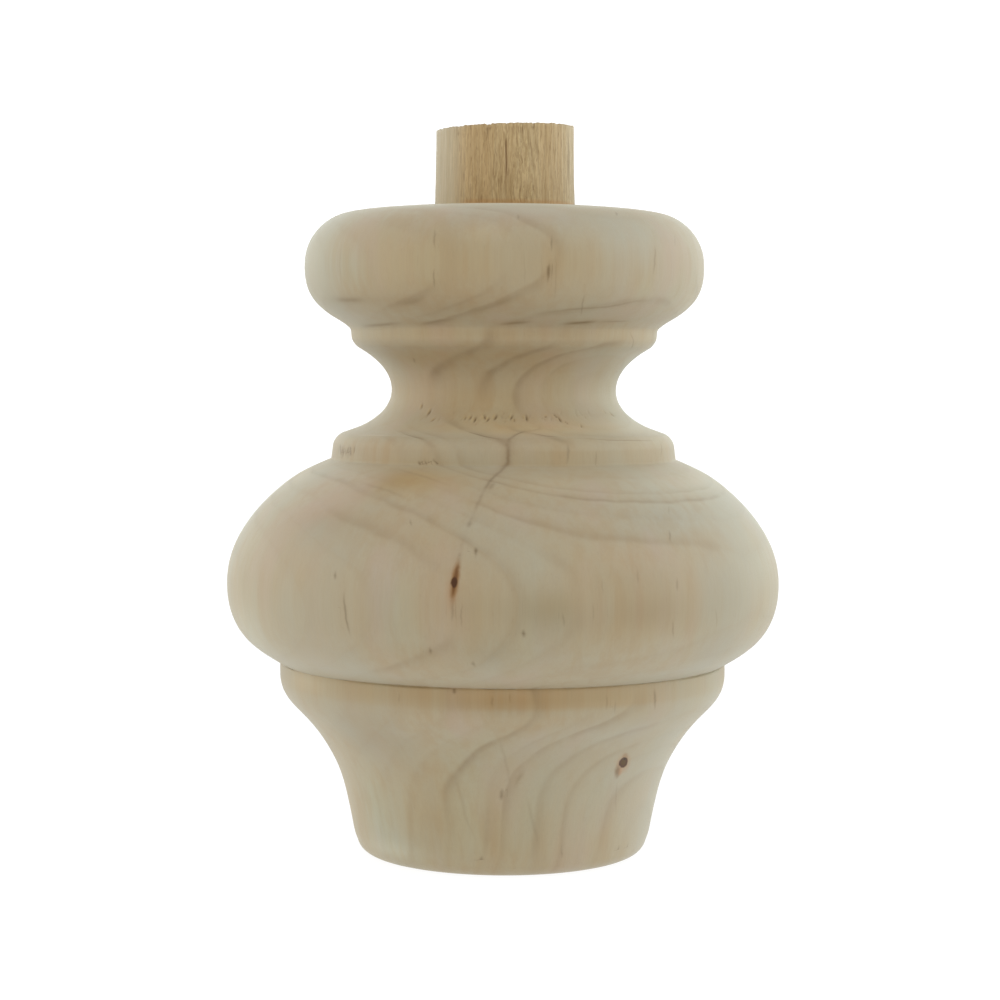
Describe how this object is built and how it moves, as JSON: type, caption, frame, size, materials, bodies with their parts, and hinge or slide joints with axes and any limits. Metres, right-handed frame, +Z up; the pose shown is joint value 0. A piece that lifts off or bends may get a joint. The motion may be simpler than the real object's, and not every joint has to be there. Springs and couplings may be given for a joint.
{
  "type": "wooden furniture leg",
  "caption": "Short turned wooden furniture leg: round bulb on a tapered foot, beaded neck and rounded head with a plain round tenon on top.",
  "frame": {"origin": "centre of the flat underside that stands on the floor", "axes": "+Z up along the turning axis, from the foot to the tenon; -Y is the side seen in the picture"},
  "size_m": [0.1, 0.1, 0.1314],
  "materials": {
    "bare_wood": "bare fine-sanded wood, matt"
  },
  "bodies": {
    "root": {"turned_leg": "bare_wood"}
  },
  "joints": []
}
